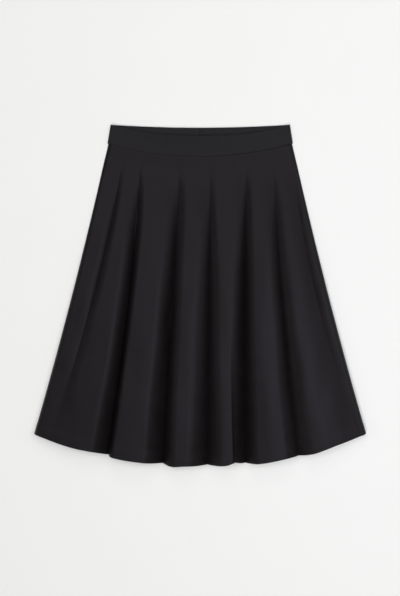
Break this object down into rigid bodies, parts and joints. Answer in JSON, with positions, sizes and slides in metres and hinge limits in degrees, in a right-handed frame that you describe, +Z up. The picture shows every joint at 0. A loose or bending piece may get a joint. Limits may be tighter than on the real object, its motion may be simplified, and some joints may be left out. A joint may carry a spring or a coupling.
{
  "type": "a-line midi skirt",
  "caption": "Flared jersey skirt laid flat: folded elasticated waistband, and a front and a back panel that fall in soft flutes to a curved hem.",
  "frame": {"origin": "on the surface that the skirt lies on, at the middle of its outline seen from above", "axes": "+Z up from the surface; +Y from the hem to the waist; +X to the right as seen from above with the waist at the top"},
  "size_m": [0.6624, 0.678, 0.0355],
  "materials": {
    "band_jersey": "matte black jersey over elastic",
    "panel_jersey": "matte black jersey, fine knit"
  },
  "bodies": {
    "root": {"waistband": "band_jersey", "front_panel": "panel_jersey", "back_panel": "panel_jersey"}
  },
  "joints": []
}
